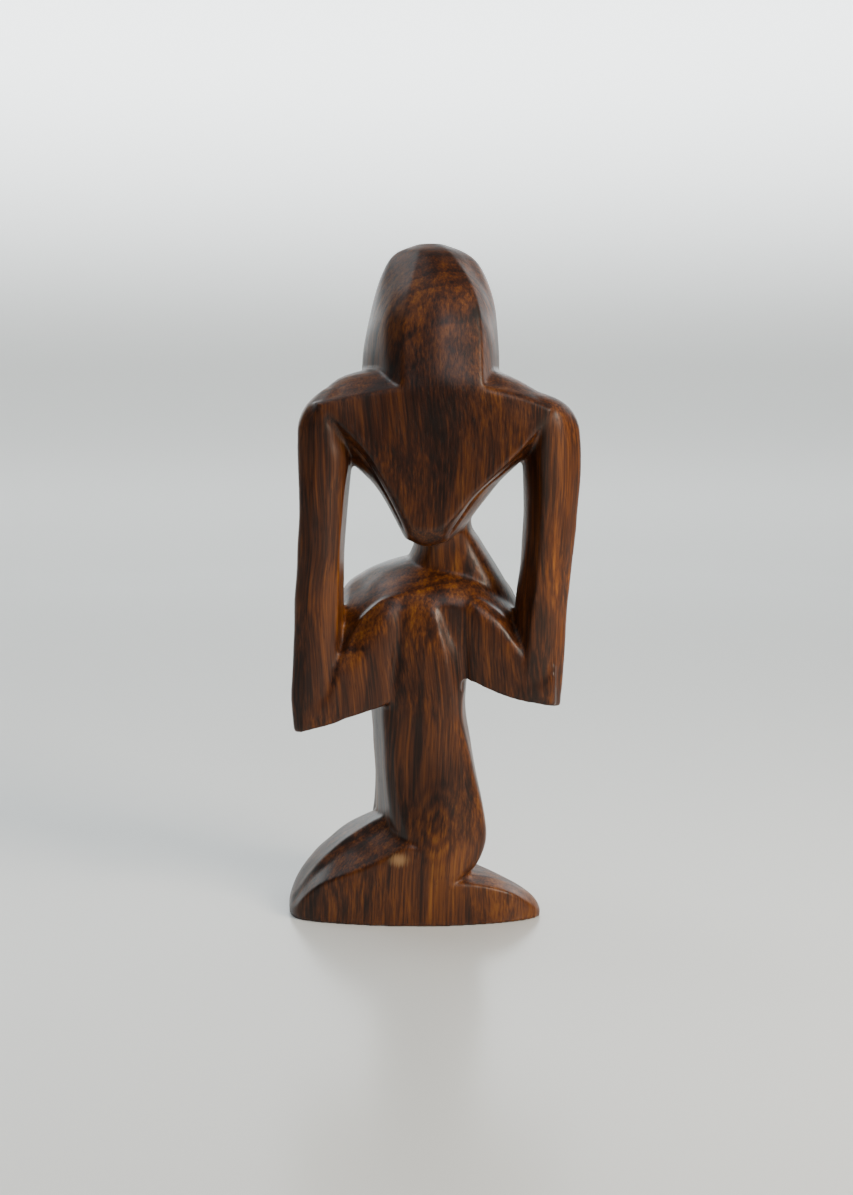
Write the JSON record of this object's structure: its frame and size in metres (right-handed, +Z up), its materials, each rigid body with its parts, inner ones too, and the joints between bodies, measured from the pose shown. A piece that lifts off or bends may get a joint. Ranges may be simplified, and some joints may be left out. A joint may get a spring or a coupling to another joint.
{
  "type": "carved wooden figure",
  "caption": "Abstract bowed human figure carved from a block of polished dark hardwood, with open gaps between the arms and the back, standing on its flat foot block.",
  "frame": {"origin": "on the table, under the middle of the figure's bounding box", "axes": "+Z up through the figure; -Y is the figure's back; +Y is the way it faces; +X is to the viewer's right when seen from behind"},
  "size_m": [0.0868, 0.0572, 0.2001],
  "materials": {
    "carved_wood": "hand-sanded, oiled and polished dark reddish-brown hardwood with straight vertical grain"
  },
  "bodies": {
    "root": {"head": "carved_wood", "back": "carved_wood", "left_shoulder": "carved_wood", "left_upper_arm": "carved_wood", "left_elbow": "carved_wood", "right_shoulder": "carved_wood", "right_upper_arm": "carved_wood", "right_elbow": "carved_wood", "thighs": "carved_wood", "near_leg": "carved_wood", "far_leg": "carved_wood", "left_foot": "carved_wood", "right_foot": "carved_wood"}
  },
  "joints": []
}
